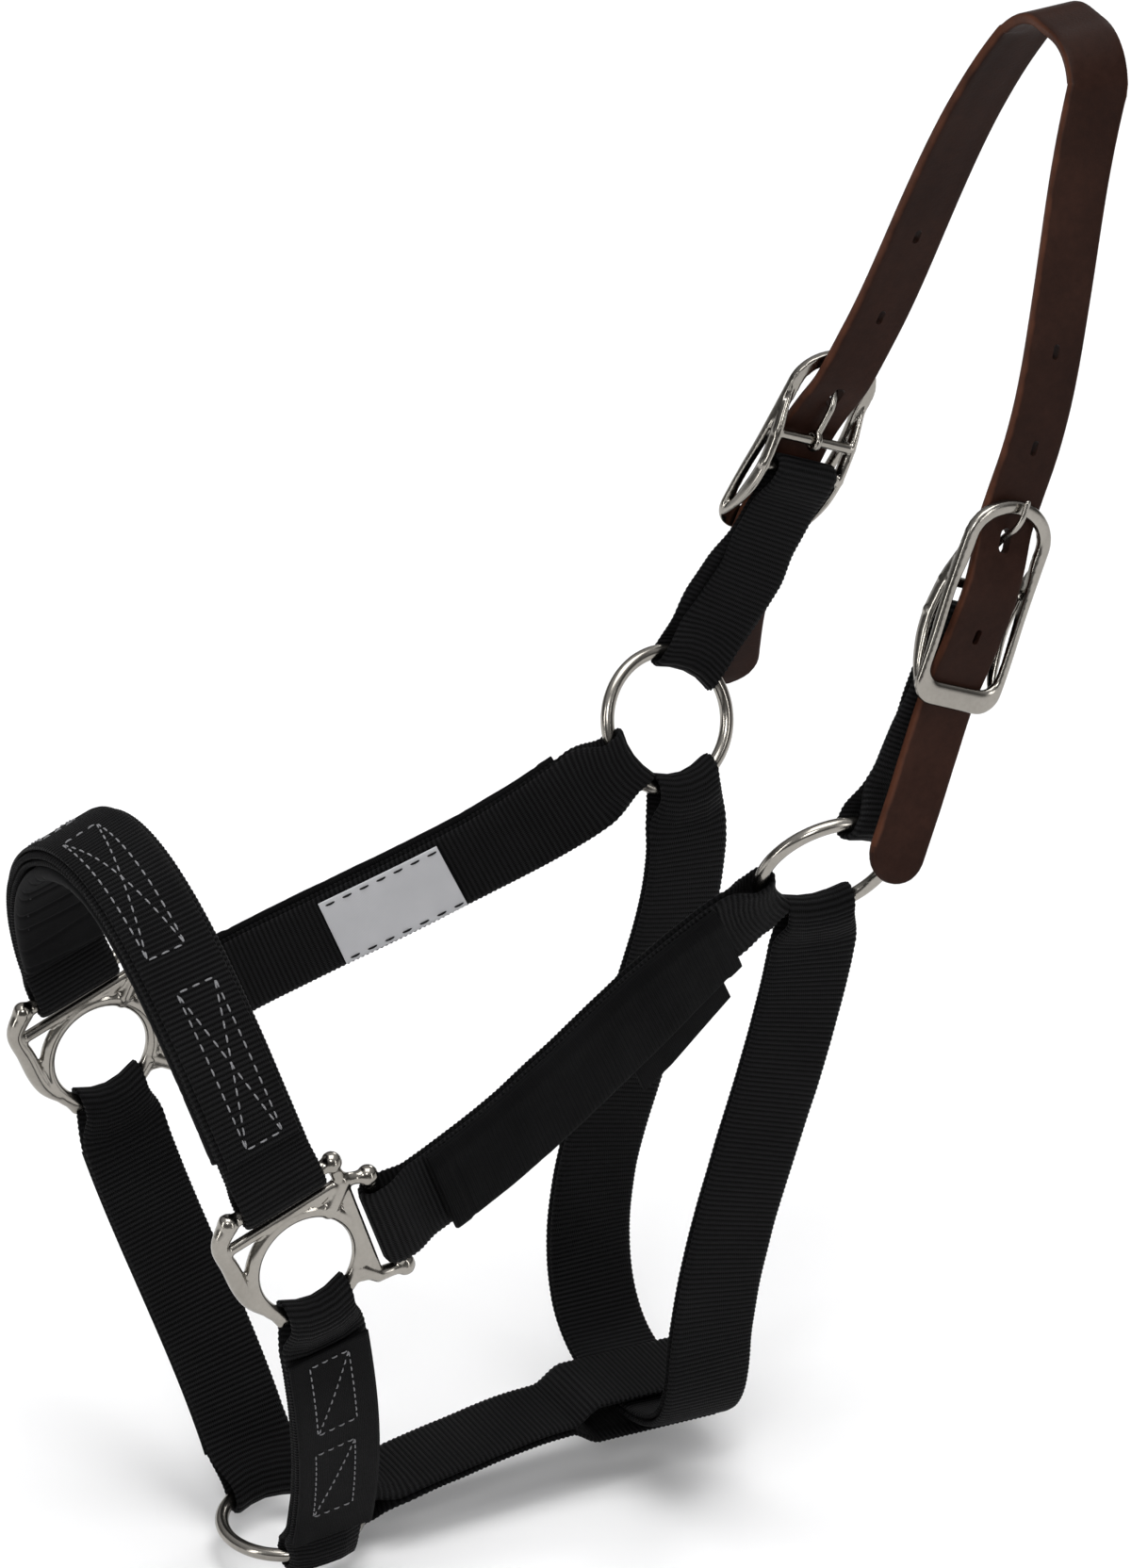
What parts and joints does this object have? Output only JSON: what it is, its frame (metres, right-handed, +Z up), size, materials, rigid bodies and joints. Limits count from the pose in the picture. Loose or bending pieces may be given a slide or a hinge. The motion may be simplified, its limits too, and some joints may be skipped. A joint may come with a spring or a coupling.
{
  "type": "headcollar",
  "caption": "Horse headcollar of doubled black web and a brown leather crown strap that buckles each side, with cast squares and round rings at its strap joints.",
  "frame": {"origin": "middle of the underside of the crown strap, where it rests on the poll", "axes": "+X towards the horse's nose, +Y to the near (left) side, +Z up"},
  "size_m": [0.3136, 0.1423, 0.4164],
  "materials": {
    "nylon_web": "matt ribbed nylon web",
    "cover_fabric": "smooth close-woven cover",
    "padded_lining": "soft padded lining",
    "crown_leather": "smooth oiled bridle leather",
    "nickel_plate": "polished nickel plate",
    "satin_label": "grey satin ribbon",
    "woven_tag": "plain black woven tag"
  },
  "bodies": {
    "crown": {"crown_strap": "crown_leather", "near_buckle_frame": "nickel_plate", "off_buckle_frame": "nickel_plate", "near_buckle_web": "nylon_web", "off_buckle_web": "nylon_web"},
    "near_tongue": {"near_buckle_tongue": "nickel_plate"},
    "off_tongue": {"off_buckle_tongue": "nickel_plate"},
    "cheeks": {"near_cheek_web": "nylon_web", "off_cheek_web": "nylon_web", "near_cheek_cover": "cover_fabric", "off_cheek_cover": "cover_fabric", "size_label": "satin_label", "side_tag": "woven_tag", "near_square": "nickel_plate", "off_square": "nickel_plate", "nose_web": "nylon_web", "nose_overlay": "cover_fabric", "nose_pad": "padded_lining"},
    "near_throat_ring": {"near_throat_ring": "nickel_plate"},
    "off_throat_ring": {"off_throat_ring": "nickel_plate"},
    "throat": {"throat_web": "nylon_web"},
    "chin": {"near_chin_web": "nylon_web", "off_chin_web": "nylon_web", "near_chin_patch": "cover_fabric", "off_chin_patch": "cover_fabric"},
    "chin_ring": {"chin_ring": "nickel_plate"},
    "jaw": {"jaw_web": "nylon_web"}
  },
  "joints": [
    {"name": "near_tongue_hinge", "type": "hinge", "parent": "crown", "child": "near_tongue", "pos_m": [0.05191, 0.04743, -0.13643], "axis": [-0.9014, 0.0003, -0.4331], "range_deg": [0, 3.4]},
    {"name": "off_tongue_hinge", "type": "hinge", "parent": "crown", "child": "off_tongue", "pos_m": [0.05191, -0.04743, -0.13643], "axis": [0.9014, -0.0003, 0.4331], "range_deg": [0, 3.4]},
    {"name": "cheek_swing", "type": "hinge", "parent": "crown", "child": "cheeks", "pos_m": [0.09815, 0, -0.21242], "axis": [0, 1, 0], "range_deg": [-6, 6]},
    {"name": "near_ring_spin", "type": "hinge", "parent": "cheeks", "child": "near_throat_ring", "pos_m": [0.09815, 0.0464, -0.21242], "axis": [0.1002, 0.9016, -0.4208], "continuous": true},
    {"name": "off_ring_spin", "type": "hinge", "parent": "cheeks", "child": "off_throat_ring", "pos_m": [0.09815, -0.0464, -0.21242], "axis": [0.1002, -0.9016, -0.4208], "continuous": true},
    {"name": "chin_swing", "type": "hinge", "parent": "cheeks", "child": "chin", "pos_m": [0.26618, 0, -0.28236], "axis": [0, 1, 0], "range_deg": [-2.5, 5]},
    {"name": "throat_swing", "type": "hinge", "parent": "cheeks", "child": "throat", "pos_m": [0.09815, 0, -0.21242], "axis": [0, 1, 0], "range_deg": [-3.85, 3.85]},
    {"name": "chin_ring_spin", "type": "hinge", "parent": "chin", "child": "chin_ring", "pos_m": [0.24018, 0, -0.40636], "axis": [0.0599, 0, 0.9982], "continuous": true},
    {"name": "jaw_swing", "type": "hinge", "parent": "chin", "child": "jaw", "pos_m": [0.22091, 0, -0.4052], "axis": [0, 1, 0], "range_deg": [-8.97, 8.97]}
  ],
  "couplings": [
    {"joint": "throat_swing", "follows": "chin_swing", "ratio": 0.7105},
    {"joint": "jaw_swing", "follows": "chin_swing", "ratio": -1.7333}
  ]
}
